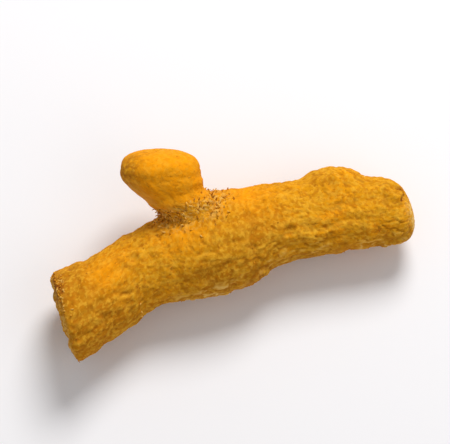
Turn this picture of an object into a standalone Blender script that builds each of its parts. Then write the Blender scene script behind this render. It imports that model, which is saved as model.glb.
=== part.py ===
"""A dried turmeric finger with one short side finger, lying on a small flat of its underside.

Units are metres and +Z is up. The root runs along +X, from its broken end to its blunt tip, and the side
finger leaves it towards +Y and upwards. The sizes below are in the shape's own frame, which starts at the
middle of the broken end on the floor. The finished root is then moved so that the origin is the middle of
its footprint.
"""
import math

import bmesh
import bpy
import numpy as np
from mathutils import Matrix, Vector

MM = 0.001

# Stations along the root: how far across its axis runs, its half width and height, and its underside.
ROOT_LENGTH = 62.6 * MM
ROOT_STATIONS = np.array([0.0, 8.0, 17.0, 24.0, 31.5, 38.0, 46.0, 56.0, 62.6]) * MM
ROOT_ACROSS = np.array([0.7, 2.9, 5.7, 5.7, 6.1, 6.8, 5.7, 3.5, 2.4]) * MM
ROOT_HALF_WIDTH = np.array([7.9, 7.2, 6.9, 8.1, 8.2, 7.3, 6.7, 6.1, 5.7]) * MM
ROOT_HALF_HEIGHT = np.array([7.5, 7.0, 6.9, 7.6, 7.8, 6.9, 6.3, 5.6, 5.2]) * MM
ROOT_UNDERSIDE = np.array([1.4, 0.8, 0.35, -0.35, -0.5, 0.0, 0.7, 1.3, 2.0]) * MM

# The side finger, from the root's axis outwards: narrow at its neck and widest near its blunt end.
# Its sections face a heading, in degrees from +Y towards +X, and a rise, in degrees up from level.
SIDE_ACROSS = np.array([(26.8, 4.8), (26.6, 8.4), (26.3, 11.9), (24.3, 14.7), (23.1, 18.0), (23.7, 21.7)])
SIDE_LEVEL = np.array([7.4, 9.6, 11.9, 14.0, 15.9, 17.7])
SIDE_POINTS = np.column_stack([SIDE_ACROSS, SIDE_LEVEL]) * MM
SIDE_HALF_WIDTH = np.array([5.0, 4.8, 4.8, 5.1, 6.6, 7.0]) * MM
SIDE_HALF_HEIGHT = np.array([5.0, 4.7, 4.5, 4.6, 5.4, 5.8]) * MM
SIDE_HEADING = np.radians([-9.0, -7.0, -3.0, 5.0, 13.0, 17.0])
SIDE_RISE = math.radians(29.0)

# The middle of the root's footprint in the shape's own frame, which becomes the origin.
FOOTPRINT_MIDDLE = np.array([31.3, 8.45, 0.0]) * MM

# Ends: how far back each one starts to round, and how square it is (2 is an ellipse, more is blunter).
BROKEN_END = (3.0 * MM, 4.5)
ROOT_TIP = (5.2 * MM, 2.7)
SIDE_FOOT = (2.0 * MM, 2.0)
SIDE_TIP = (4.4 * MM, 3.2)
ROOT_END_RADIUS = 7.0 * MM
SIDE_END_RADIUS = 5.5 * MM

# Faces: sides around and rows along.
ROOT_SIDES, ROOT_ROWS = 58, 64
SIDE_SIDES, SIDE_ROWS = 34, 22
ROOTLET_SIDES = 5

# Relief: how far each kind of unevenness stands out or goes in.
LUMP = 0.30 * MM
FOLD = 0.40 * MM
RING = 0.26 * MM
COLLAR = 0.9 * MM
BREAK = 0.5 * MM

RING_FIRST, RING_STEP, RING_COUNT = 6.0 * MM, 6.9 * MM, 8
SIDE_RING_FIRST, SIDE_RING_STEP, SIDE_RING_COUNT = 11.6 * MM, 3.9 * MM, 3

# Scars that bud and roots left: place along the root, turn from +Y over the top, radius and depth.
SCARS = (
    (60.2 * MM, 66.0, 1.5 * MM, 0.55 * MM),
    (41.0 * MM, 118.0, 1.3 * MM, 0.40 * MM),
    (14.5 * MM, 82.0, 1.3 * MM, 0.35 * MM),
    (50.0 * MM, 58.0, 1.2 * MM, 0.35 * MM),
    (20.0 * MM, 214.0, 1.5 * MM, 0.45 * MM),
    (39.5 * MM, 320.0, 1.5 * MM, 0.45 * MM),
    (9.0 * MM, 345.0, 1.4 * MM, 0.40 * MM),
)

# Knobs, small buds that never grew: place along, turn, radius and how far each one stands out.
KNOBS = (
    (34.4 * MM, 172.0, 1.9 * MM, 0.6 * MM),
    (47.0 * MM, 318.0, 2.2 * MM, 0.9 * MM),
    (12.5 * MM, 240.0, 1.8 * MM, 0.8 * MM),
)

# The shoulder, a broad bud under the skin: place along, turn, radius and how far it stands out.
SHOULDER = (51.4 * MM, 24.0, 4.6 * MM, 2.3 * MM)

# Rootlets, broken off short.
COLLAR_ROOTLETS = 20
END_ROOTLETS = 8
NODE_ROOTLETS = 12
COLLAR_FROM_AXIS = 9.3 * MM
ROOTLET_RADIUS = 0.42 * MM
ROOTLET_SUNK = 1.3 * MM
ROOTLET_OUT = (0.7 * MM, 1.6 * MM)
NODE_ROOTLET_OUT = (0.35 * MM, 0.8 * MM)

SEED = 11
UP = Vector((0.0, 0.0, 1.0))
TURMERIC = (0.66, 0.30, 0.012, 1.0)


def smooth(at, stations, values):
    """Cubic curve through the values at the stations, with central slopes, read at each place in at."""
    slopes = np.gradient(values, stations, axis=0)
    left = np.clip(np.searchsorted(stations, at) - 1, 0, len(stations) - 2)
    step = stations[left + 1] - stations[left]
    t = (at - stations[left]) / step
    if values.ndim > 1:
        t, step = t[:, None], step[:, None]
    start = values[left] * (2 * t**3 - 3 * t**2 + 1) + slopes[left] * step * (t**3 - 2 * t**2 + t)
    end = values[left + 1] * (3 * t**2 - 2 * t**3) + slopes[left + 1] * step * (t**3 - t**2)
    return start + end


def rounded_profile(length, radius, start, end):
    """Outline of a round-ended bar: places along it and, for each, the share of its width reached.

    Each end is a superellipse, given by the length that it takes up and its exponent.
    """
    swing = np.linspace(0.0, math.pi / 2, 60)
    start_along = start[0] * (1 - np.cos(swing) ** (2 / start[1]))
    start_out = np.sin(swing) ** (2 / start[1])
    end_along = length - end[0] * (1 - np.cos(swing[::-1]) ** (2 / end[1]))
    end_out = np.sin(swing[::-1]) ** (2 / end[1])
    along = np.concatenate([start_along, end_along])
    out = np.concatenate([start_out, end_out])
    walked = np.concatenate([[0.0], np.cumsum(np.hypot(np.diff(along), np.diff(out) * radius))])
    return walked / walked[-1], along, out


def collection(name):
    made = bpy.data.collections.new(name)
    bpy.context.scene.collection.children.link(made)
    return made


def put_points(mesh, points):
    mesh.vertices.foreach_set("co", points.ravel())
    mesh.update()


def finger_grid(name, sides, rows, length, radius, start, end):
    """A ball whose rows become rows along a finger: its mesh and each point's place along, reach and turn."""
    shape = bmesh.new()
    bmesh.ops.create_uvsphere(shape, u_segments=sides, v_segments=rows, radius=1.0)
    mesh = bpy.data.meshes.new(name)
    shape.to_mesh(mesh)
    shape.free()
    points = np.empty(len(mesh.vertices) * 3)
    mesh.vertices.foreach_get("co", points)
    points = points.reshape(-1, 3)
    share = np.arccos(np.clip(-points[:, 2], -1.0, 1.0)) / math.pi
    turn = np.arctan2(points[:, 1], points[:, 0])
    walked, profile_along, profile_out = rounded_profile(length, radius, start, end)
    along = np.interp(share, walked, profile_along)
    out = np.interp(share, walked, profile_out)
    return mesh, along, out, turn


def raise_surface(mesh, height):
    """Moves each point along its normal by its height."""
    points = np.empty(len(mesh.vertices) * 3)
    normals = np.empty(len(mesh.vertices) * 3)
    mesh.vertices.foreach_get("co", points)
    mesh.vertex_normals.foreach_get("vector", normals)
    put_points(mesh, points.reshape(-1, 3) + normals.reshape(-1, 3) * height[:, None])


def root_points(along, turn, out=1.0):
    """Points on the plain root: an upright ellipse at each place along its axis."""
    across = smooth(along, ROOT_STATIONS, ROOT_ACROSS)
    half_width = smooth(along, ROOT_STATIONS, ROOT_HALF_WIDTH)
    half_height = smooth(along, ROOT_STATIONS, ROOT_HALF_HEIGHT)
    middle = smooth(along, ROOT_STATIONS, ROOT_UNDERSIDE) + half_height
    y = across + half_width * out * np.cos(turn)
    z = middle + half_height * out * np.sin(turn)
    return np.stack([along, y, z], axis=-1)


def side_length():
    return float(np.sum(np.linalg.norm(np.diff(SIDE_POINTS, axis=0), axis=1)))


def side_frame(share):
    """The side finger's centre, its directions forward, level and upward, and its half sizes at a share."""
    stations = np.linspace(0.0, 1.0, len(SIDE_POINTS))
    centre = smooth(share, stations, SIDE_POINTS)
    heading = smooth(share, stations, SIDE_HEADING)
    level = np.stack([-np.cos(heading), np.sin(heading), np.zeros_like(heading)], axis=1)
    ahead = np.stack([np.sin(heading), np.cos(heading), np.zeros_like(heading)], axis=1)
    forward = math.cos(SIDE_RISE) * ahead + math.sin(SIDE_RISE) * np.array(UP)
    upward = np.cross(forward, level)
    half_width = smooth(share, stations, SIDE_HALF_WIDTH)[:, None]
    half_height = smooth(share, stations, SIDE_HALF_HEIGHT)[:, None]
    return centre, forward, level, upward, half_width, half_height


def side_points(share, turn, out):
    """Points on the plain side finger: an ellipse across its heading at each share of its length."""
    centre, forward, level, upward, half_width, half_height = side_frame(share)
    wide = half_width * (out * np.cos(turn))[:, None] * level
    high = half_height * (out * np.sin(turn))[:, None] * upward
    return centre + wide + high


def lumps(along, turn):
    """Slow swells that keep the root from being an even tube."""
    slow = 0.6 * np.sin(along / (4.6 * MM) + 0.9 + 0.8 * np.cos(turn))
    crossing = 0.5 * np.sin(along / (2.6 * MM) + 2.0 * turn + 2.1)
    return LUMP * (slow + crossing)


def folds(along, turn, count, drift):
    """Shrunken skin: rounded ridges with sharp valleys that run lengthwise, sway, fade and start again."""
    sway = np.sin(along / (5.2 * MM) + 1.7) + 0.6 * np.sin(along / (2.3 * MM) + 2.0 * turn)
    sway += 0.35 * np.sin(along / (1.1 * MM) + 3.0 * turn)
    ridge = np.abs(np.sin(0.5 * (count * turn + drift * sway))) - 0.62
    fade = 0.55 + 0.45 * np.sin(along / (3.4 * MM) + 3.0 * turn)
    return FOLD * ridge * fade


def ring_places(first, step, count):
    """Where the nodes are: even steps, each one shifted a little by the golden ratio's remainders."""
    order = np.arange(count)
    return first + step * (order + 0.34 * ((order * 0.618) % 1.0 - 0.5))


def node_rings(along, turn, places):
    """A low lip with a groove in front of it at each node, not quite square to the finger."""
    height = np.zeros_like(along)
    for order, place in enumerate(places):
        lean = 0.8 * MM * np.sin(turn + 1.9 * order) + 0.3 * MM * np.sin(3.0 * turn + order)
        apart = along - place - lean
        lip = np.exp(-((apart / (0.9 * MM)) ** 2))
        groove = 0.8 * np.exp(-(((apart - 1.5 * MM) / (0.8 * MM)) ** 2))
        height += (lip - groove) * (0.7 + 0.3 * np.sin(2.0 * turn + 2.3 * order))
    return RING * height


def scar_pits(points):
    """A round dimple with a raised edge at each scar, by distance from its middle."""
    height = np.zeros(len(points))
    for along, degrees, radius, depth in SCARS:
        middle = root_points(np.array([along]), np.array([math.radians(degrees)]))[0]
        apart = np.linalg.norm(points - middle, axis=1) / radius
        height += depth * (0.8 * np.exp(-(((apart - 1.0) / 0.45) ** 2)) - np.exp(-((apart / 0.6) ** 2)))
    return height


def shoulder_swell(points):
    """A low dome over the bud under the skin, by distance from its middle."""
    along, degrees, radius, stand = SHOULDER
    middle = root_points(np.array([along]), np.array([math.radians(degrees)]))[0]
    return stand * np.exp(-((np.linalg.norm(points - middle, axis=1) / radius) ** 3))


def collar_swell(points):
    """The root's skin drawn up round the foot of the side finger."""
    foot = SIDE_POINTS[0]
    pointing = (SIDE_POINTS[1] - foot) / np.linalg.norm(SIDE_POINTS[1] - foot)
    outward = (points - foot) @ pointing
    off_axis = np.linalg.norm(points - foot - outward[:, None] * pointing, axis=1)
    return np.where(outward > 0.0, COLLAR * np.exp(-((off_axis / (5.8 * MM)) ** 4)), 0.0)


def broken_face(along, turn, out):
    """The broken end: dished, with torn ridges that run round and across it."""
    torn = 0.5 * np.sin(5.0 * turn + 9.0 * out) + 0.4 * np.sin(3.0 * turn - 14.0 * out + 1.0)
    dish = np.sin(math.pi * np.clip(out, 0.0, 1.0)) * (torn - 0.7)
    return np.where(along < BROKEN_END[0], BREAK * dish, 0.0)


def make_root(group):
    """The main finger: a ball drawn out along the axis, with the relief raised along its normals."""
    mesh, along, out, turn = finger_grid(
        "turmeric_root", ROOT_SIDES, ROOT_ROWS, ROOT_LENGTH, ROOT_END_RADIUS, BROKEN_END, ROOT_TIP
    )
    points = root_points(along, turn, out)
    put_points(mesh, points)
    shrunken = (0.78 - 0.22 * np.cos(turn)) * (0.85 + 0.3 * along / ROOT_LENGTH)
    relief = lumps(along, turn) + node_rings(along, turn, ring_places(RING_FIRST, RING_STEP, RING_COUNT))
    relief += shrunken * folds(along, turn, 13, 1.6) + 0.5 * folds(along + 2.0 * MM, turn, 8, 2.2)
    relief = relief * np.clip(out, 0.0, 1.0) ** 3 + scar_pits(points)
    relief += collar_swell(points) + shoulder_swell(points) + broken_face(along, turn, out)
    raise_surface(mesh, relief)
    root = bpy.data.objects.new("turmeric_root", mesh)
    group.objects.link(root)
    return root


def make_side_finger(group):
    """The side finger: a neck and a knob with rings and folds, made as the main finger is."""
    length = side_length()
    mesh, along, out, turn = finger_grid(
        "side_finger", SIDE_SIDES, SIDE_ROWS, length, SIDE_END_RADIUS, SIDE_FOOT, SIDE_TIP
    )
    put_points(mesh, side_points(along / length, turn, out))
    relief = 0.7 * node_rings(along, turn, ring_places(SIDE_RING_FIRST, SIDE_RING_STEP, SIDE_RING_COUNT))
    relief += 0.6 * lumps(along, turn) + 0.6 * folds(along, turn, 9, 1.4)
    raise_surface(mesh, relief * np.clip(out, 0.0, 1.0) ** 3)
    group.objects.link(bpy.data.objects.new("side_finger", mesh))


def skin_place(along, turn):
    """A point on the plain root and the way out from it."""
    nudge = 0.1 * MM
    places = np.array([along, along + nudge, along])
    here, ahead, beside = root_points(places, np.array([turn, turn, turn + 0.02]))
    outward = Vector(beside - here).cross(Vector(ahead - here)).normalized()
    return Vector(here), outward


def rootlet(group, name, foot, direction, out, radius):
    """One broken rootlet: a short taper with its foot sunk under the skin."""
    length = ROOTLET_SUNK + out
    turned = UP.rotation_difference(direction).to_matrix().to_4x4()
    placed = Matrix.Translation(foot + direction * (0.5 * length - ROOTLET_SUNK)) @ turned
    shape = bmesh.new()
    bmesh.ops.create_cone(
        shape,
        cap_ends=True,
        segments=ROOTLET_SIDES,
        radius1=radius,
        radius2=0.5 * radius,
        depth=length,
        matrix=placed,
    )
    mesh = bpy.data.meshes.new(name)
    shape.to_mesh(mesh)
    shape.free()
    group.objects.link(bpy.data.objects.new(name, mesh))


def collar_rootlets(group, draw):
    """Rootlets in a ring round the side finger's neck, leaning outwards."""
    frame = side_frame(np.array([COLLAR_FROM_AXIS / side_length()]))
    centre, forward, level, upward = (Vector(row[0]) for row in frame[:4])
    half_width, half_height = (float(size[0, 0]) for size in frame[4:])
    for order in range(COLLAR_ROOTLETS):
        turn = 2 * math.pi * (order + draw.uniform(-0.3, 0.3)) / COLLAR_ROOTLETS
        spoke = level * half_width * math.cos(turn) + upward * half_height * math.sin(turn)
        foot = centre + spoke * draw.uniform(0.95, 1.08) - forward * draw.uniform(0.0, 1.4) * MM
        lean = (spoke.normalized() + forward * draw.uniform(-0.2, 0.5)).normalized()
        rootlet(group, f"collar_rootlet_{order}", foot, lean, draw.uniform(*ROOTLET_OUT), ROOTLET_RADIUS)


def end_rootlets(group, draw):
    """Rootlets on the rim of the broken end, clear of the floor."""
    for order in range(END_ROOTLETS):
        turn = math.radians(15.0 + 200.0 * order / END_ROOTLETS + draw.uniform(-9.0, 9.0))
        foot, outward = skin_place(draw.uniform(2.6, 4.6) * MM, turn)
        lean = (outward - Vector((1.0, 0.0, 0.0)) * draw.uniform(0.3, 1.1)).normalized()
        rootlet(group, f"end_rootlet_{order}", foot, lean, draw.uniform(*ROOTLET_OUT), ROOTLET_RADIUS)


def node_rootlets(group, draw):
    """Stubs of rootlets beside the nodes, clear of the floor."""
    places = ring_places(RING_FIRST, RING_STEP, RING_COUNT)
    for order in range(NODE_ROOTLETS):
        turn = math.radians(draw.uniform(-35.0, 215.0))
        foot, outward = skin_place(places[order % RING_COUNT] + draw.uniform(0.2, 0.9) * MM, turn)
        out = draw.uniform(*NODE_ROOTLET_OUT)
        rootlet(group, f"node_rootlet_{order}", foot, outward, out, 1.3 * ROOTLET_RADIUS)


def make_knobs(group):
    """Small flattened balls, sunk so that each one stands out of the skin by its own height."""
    flatness = 0.8
    for order, (along, degrees, radius, stand) in enumerate(KNOBS):
        foot, outward = skin_place(along, math.radians(degrees))
        placed = Matrix.Translation(foot + outward * (stand - flatness * radius))
        shape = bmesh.new()
        bmesh.ops.create_uvsphere(
            shape, u_segments=12, v_segments=8, radius=radius, matrix=placed @ Matrix.Scale(flatness, 4, outward)
        )
        mesh = bpy.data.meshes.new(f"knob_{order}")
        shape.to_mesh(mesh)
        shape.free()
        group.objects.link(bpy.data.objects.new(mesh.name, mesh))


def apply_boolean(target, operation, group):
    """One exact Boolean of the target with everything in a collection, applied."""
    step = target.modifiers.new(operation.lower(), "BOOLEAN")
    step.operation = operation
    step.solver = "EXACT"
    step.operand_type = "COLLECTION"
    step.collection = group
    evaluated = target.evaluated_get(bpy.context.evaluated_depsgraph_get())
    result = bpy.data.meshes.new_from_object(evaluated)
    target.modifiers.remove(step)
    plain = target.data
    target.data = result
    bpy.data.meshes.remove(plain)
    result.name = target.name


def remove_collection(group):
    for made in list(group.objects):
        mesh = made.data
        bpy.data.objects.remove(made, do_unlink=True)
        bpy.data.meshes.remove(mesh)
    bpy.data.collections.remove(group)


def make_floor_cutter(group):
    """A block whose top is the floor: what it takes off leaves the small flat that the root lies on."""
    shape = bmesh.new()
    bmesh.ops.create_cube(shape, size=1.0)
    bmesh.ops.scale(shape, vec=(2 * ROOT_LENGTH, 2 * ROOT_LENGTH, 20 * MM), verts=shape.verts)
    bmesh.ops.translate(shape, vec=(0.5 * ROOT_LENGTH, 0.0, -10 * MM), verts=shape.verts)
    mesh = bpy.data.meshes.new("floor_cutter")
    shape.to_mesh(mesh)
    shape.free()
    cutter = bpy.data.objects.new("floor_cutter", mesh)
    cutter.hide_render = True
    cutter.display_type = "WIRE"
    group.objects.link(cutter)


def centre_on_footprint(root):
    """Moves the mesh so that the origin is the middle of its footprint, on the floor."""
    points = np.empty(len(root.data.vertices) * 3)
    root.data.vertices.foreach_get("co", points)
    put_points(root.data, points.reshape(-1, 3) - FOOTPRINT_MIDDLE)


def turmeric_material():
    material = bpy.data.materials.new("turmeric")
    material.use_nodes = True
    shader = material.node_tree.nodes["Principled BSDF"]
    shader.inputs["Base Color"].default_value = TURMERIC
    shader.inputs["Roughness"].default_value = 0.85
    shader.inputs["Metallic"].default_value = 0.0
    return material


def main():
    for old in list(bpy.data.objects):
        bpy.data.objects.remove(old, do_unlink=True)
    parts = collection("turmeric_root")
    cutters = collection("cutters")
    joined = collection("joined")
    draw = np.random.default_rng(SEED)

    root = make_root(parts)
    make_side_finger(joined)
    make_knobs(joined)
    collar_rootlets(joined, draw)
    end_rootlets(joined, draw)
    node_rootlets(joined, draw)
    apply_boolean(root, "UNION", joined)
    remove_collection(joined)
    make_floor_cutter(cutters)
    apply_boolean(root, "DIFFERENCE", cutters)
    centre_on_footprint(root)

    root.data.materials.clear()
    root.data.materials.append(turmeric_material())
    root.data.shade_smooth()
    root.data.set_sharp_from_angle(angle=math.radians(40.0))


main()
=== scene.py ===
"""Looks of a dried turmeric root with a short side finger, laid out as an add-on and run as a script.

The skin is two surfaces worked out with numpy, one for the root and one for its side finger, joined into one
closed mesh. Rootlet fibres are thin tubes of their own. All sizes are in metres. The shapes are worked out from
the middle of the broken end, on the floor, and moved to the part's own frame as their meshes are made. A turn
goes round a finger from +Y over the top.
"""
import itertools
import math

import bpy
import numpy as np
from bpy.props import FloatProperty, FloatVectorProperty, IntProperty, PointerProperty
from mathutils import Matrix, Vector


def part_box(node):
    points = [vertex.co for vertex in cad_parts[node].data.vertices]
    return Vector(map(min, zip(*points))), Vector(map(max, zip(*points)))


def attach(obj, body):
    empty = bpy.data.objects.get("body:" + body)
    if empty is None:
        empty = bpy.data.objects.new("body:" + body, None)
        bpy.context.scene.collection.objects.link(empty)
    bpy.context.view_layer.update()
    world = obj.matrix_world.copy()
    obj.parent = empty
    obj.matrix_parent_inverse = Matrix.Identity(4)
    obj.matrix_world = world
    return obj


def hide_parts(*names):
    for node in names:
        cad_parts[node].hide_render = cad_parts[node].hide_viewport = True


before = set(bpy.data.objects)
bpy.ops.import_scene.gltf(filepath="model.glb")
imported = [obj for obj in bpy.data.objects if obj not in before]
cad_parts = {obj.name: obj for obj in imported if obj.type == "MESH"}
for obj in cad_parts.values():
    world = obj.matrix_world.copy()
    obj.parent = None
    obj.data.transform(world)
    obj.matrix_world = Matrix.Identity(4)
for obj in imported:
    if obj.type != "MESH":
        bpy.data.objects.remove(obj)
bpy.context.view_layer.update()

bl_info = {
    "name": "Turmeric Root",
    "version": (1, 0, 0),
    "blender": (4, 5, 0),
    "location": "View3D > Sidebar > Turmeric",
    "description": "A dried turmeric root with wrinkled skin, node rings, scars and rootlet fibres",
    "category": "Add Mesh",
}

NODE = "turmeric_root"
MM = 0.001

# The middle of the root's footprint, which becomes the origin.
FOOTPRINT_MIDDLE = np.array([31.3, 8.45, 0.0]) * MM

# The root's form, as the solid has it: at each station along it, where its axis, half sizes and underside are.
ROOT_LENGTH = 62.6 * MM
ROOT_STATIONS = np.array([0.0, 8.0, 17.0, 24.0, 31.5, 38.0, 46.0, 56.0, 62.6]) * MM
ROOT_ACROSS = np.array([0.7, 2.9, 5.7, 5.7, 6.1, 6.8, 5.7, 3.5, 2.4]) * MM
ROOT_HALF_WIDTH = np.array([7.9, 7.2, 6.9, 8.1, 8.2, 7.3, 6.7, 6.1, 5.7]) * MM
ROOT_HALF_HEIGHT = np.array([7.5, 7.0, 6.9, 7.6, 7.8, 6.9, 6.3, 5.6, 5.2]) * MM
ROOT_UNDERSIDE = np.array([1.4, 0.8, 0.35, -0.35, -0.5, 0.0, 0.7, 1.3, 2.0]) * MM

# The side finger's form, from the root's axis outwards. Headings go from +Y towards +X.
SIDE_ACROSS = np.array([(26.8, 4.8), (26.6, 8.4), (26.3, 11.9), (24.3, 14.7), (23.1, 18.0), (23.7, 21.7)])
SIDE_LEVEL = np.array([7.4, 9.6, 11.9, 14.0, 15.9, 17.7])
SIDE_POINTS = np.column_stack([SIDE_ACROSS, SIDE_LEVEL]) * MM
SIDE_HALF_WIDTH = np.array([5.0, 4.8, 4.8, 5.1, 6.6, 7.0]) * MM
SIDE_HALF_HEIGHT = np.array([5.0, 4.7, 4.5, 4.6, 5.4, 5.8]) * MM
SIDE_HEADING = np.radians([-9.0, -7.0, -3.0, 5.0, 13.0, 17.0])
SIDE_RISE = math.radians(29.0)

# Ends: how far back each one starts to round, and how square it is (2 is an ellipse, more is blunter).
BROKEN_END = (3.0 * MM, 4.5)
ROOT_TIP = (5.2 * MM, 2.7)
SIDE_FOOT = (2.0 * MM, 2.0)
SIDE_TIP = (4.4 * MM, 3.2)
ROOT_END_RADIUS = 7.0 * MM
SIDE_END_RADIUS = 5.5 * MM
END_STEPS = 60

# Node rings: where the first one is, the step between them, and how many there are.
ROOT_RINGS = (6.0 * MM, 6.9 * MM, 8)
SIDE_RINGS = (11.6 * MM, 3.9 * MM, 3)
LIP_WIDTH = 0.9 * MM
GROOVE_AFTER, GROOVE_WIDTH = 1.5 * MM, 0.8 * MM
RING_LINE_AFTER, RING_LINE_WIDTH = 0.9 * MM, 0.45 * MM
RING_LEAN, RING_WAVER = 0.8 * MM, 0.3 * MM

# Lengths along a finger over which each wave of the swells and folds turns by one radian.
SWELL_WAVE, CROSSING_WAVE = 4.6 * MM, 2.6 * MM
SLOW_SWAY, MIDDLE_SWAY, QUICK_SWAY = 5.2 * MM, 2.3 * MM, 1.1 * MM
FOLD_FADE = 3.4 * MM

# Sets of folds: how many lie round the finger, and how far they sway.
NARROW_FOLDS, WIDE_FOLDS, SIDE_FOLDS = (13, 1.6), (8, 2.2), (9, 1.4)
WIDE_FOLDS_SHIFT = 2.0 * MM

# Where along the root its wrinkles get strong, and where the tip's own ones set in.
WRINKLES_GROW = (6.0 * MM, 26.0 * MM)
TIP_WRINKLES_GROW = (44.0 * MM, 58.0 * MM)

# Scars that buds and roots left: place along the root, turn in degrees, radius and depth.
SCARS = (
    (60.2 * MM, 66.0, 1.5 * MM, 0.55 * MM),
    (41.0 * MM, 118.0, 1.3 * MM, 0.40 * MM),
    (14.5 * MM, 82.0, 1.3 * MM, 0.35 * MM),
    (50.0 * MM, 58.0, 1.2 * MM, 0.35 * MM),
    (20.0 * MM, 214.0, 1.5 * MM, 0.45 * MM),
    (39.5 * MM, 320.0, 1.5 * MM, 0.45 * MM),
    (9.0 * MM, 345.0, 1.4 * MM, 0.40 * MM),
)

# Knobs, small buds that never grew: place along, turn in degrees, radius and how far each one stands out.
KNOBS = (
    (34.4 * MM, 172.0, 1.9 * MM, 0.6 * MM),
    (47.0 * MM, 318.0, 2.2 * MM, 0.9 * MM),
    (12.5 * MM, 240.0, 1.8 * MM, 0.8 * MM),
)

# The shoulder, a broad bud under the skin, and the bud scale near the tip, given as the knobs are.
SHOULDER = (51.4 * MM, 24.0, 4.6 * MM, 2.3 * MM)
TIP_BUD = (60.3 * MM, 76.0, 1.5 * MM, 0.32 * MM)

# The collar: the root's skin is drawn up round the foot of the side finger, and fuzzy along a ring that lies
# this far up the side finger. The finger's own skin is fuzzy a little further up.
COLLAR_RADIUS, COLLAR_HEIGHT = 5.8 * MM, 0.9 * MM
NECK_RING, NECK_RING_POINTS = 8.0 * MM, 32
FUZZ_WIDTH, FUZZ_HEIGHT = 1.7 * MM, 0.22 * MM
NECK_FUZZ, NECK_FUZZ_WIDTH = 9.3 * MM, 1.5 * MM

# The broken end: how deep its dish is, and how high its loose grain stands.
BREAK_DEPTH, TORN_HEIGHT = 0.5 * MM, 0.13 * MM

# Noises of the skin: the size of the cells, along, level and upright where they differ, and the seed.
SHRINK_NOISE = (5.5 * MM, 3)
CREASE_NOISE = (np.array([3.4, 1.1, 1.1]) * MM, 5)
VEIN_NOISE = (np.array([2.3, 0.95, 0.95]) * MM, 31)
FINE_CREASE_NOISE = (np.array([1.3, 0.58, 0.58]) * MM, 7)
GRAIN_NOISE = (0.85 * MM, 11)
FINE_GRAIN_NOISE = (0.50 * MM, 13)
PIT_NOISE = (0.66 * MM, 19)
TORN_NOISE = (0.9 * MM, 23)
FINE_TORN_NOISE = (0.45 * MM, 29)
FUZZ_NOISE = (0.55 * MM, 37)
SWAY_CELL, SWAY_SEEDS, SWAY_REACH = 2.1 * MM, (41, 43, 47), 0.7 * MM

# Whole numbers that mix a cell's place and a seed into an even draw.
CELL_MIXERS = np.array([73856093, 19349663, 83492791])
SEED_MIXER, LAST_MIXER = 50331653, 1274126177
DRAW_STEPS = 0xFFFF

# Patches rubbed orange: place along, turn in degrees and radius.
RUBBED = (
    (36.4 * MM, 48.0, 4.2 * MM),
    (23.8 * MM, 76.0, 3.0 * MM),
    (9.5 * MM, 74.0, 3.0 * MM),
    (52.0 * MM, 230.0, 4.0 * MM),
    (16.0 * MM, 300.0, 4.0 * MM),
)
SIDE_RUBBED_FROM = (9.5 * MM, 12.0 * MM)

# Patches of duller, browner skin, the two at the broken end painted shade: place along, turn in degrees and
# radius.
DULL_AND_SHADE = (
    (35.5 * MM, 104.0, 5.5 * MM),
    (27.0 * MM, 138.0, 4.0 * MM),
    (2.0 * MM, 70.0, 9.0 * MM),
    (4.0 * MM, 150.0, 9.0 * MM),
    (47.0 * MM, 262.0, 6.0 * MM),
)
# Painted shade lies on what faces this turn, low on the front flank.
PAINTED_SHADE_TURN = 3.3

# Painted highlight, turns in radians: a line low on the front flank, the crests about it (with pale dust), and
# the tip.
RIM_HIGHLIGHT_TURN, RIM_HIGHLIGHT_WIDTH = 3.28, 0.22
RIM_HIGHLIGHT_GROWS = (14.0 * MM, 24.0 * MM)
PALE_FLANK_RISE, PALE_FLANK_FALL = (2.3, 2.9), (3.6, 4.2)
PALE_FLANK_GROWS = (12.0 * MM, 30.0 * MM)
TIP_HIGHLIGHT_BACK, TIP_HIGHLIGHT_WIDTH, TIP_HIGHLIGHT_TURN = 0.6 * MM, 0.8 * MM, 2.8

# Bruises, turns in radians: one on the broken end's rim and one high on the side finger, and where each one is
# along its finger, how wide it is that way, and its turn and spread.
END_BRUISE = (0.9 * MM, 1.4 * MM, 1.0, 0.42)
SIDE_BRUISE = (18.2 * MM, 2.6 * MM, 0.5, 0.14)

# The side finger's left flank, painted with shade and paler reflected light: its turn in radians, its spread,
# and where it starts and ends.
SIDE_FLANK_TURN, SIDE_FLANK_SPREAD = 0.35, 0.08
SIDE_FLANK_RISE, SIDE_FLANK_FALL = (8.5 * MM, 11.5 * MM), (15.0 * MM, 18.0 * MM)

# Shares from 0 to 1 that are kept on the skin's points for its colours.
MARKS = ("hollow", "crest", "ring", "collar", "broken", "bruise", "rubbed", "dust_and_painted_light", "dull_and_shade")

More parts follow.
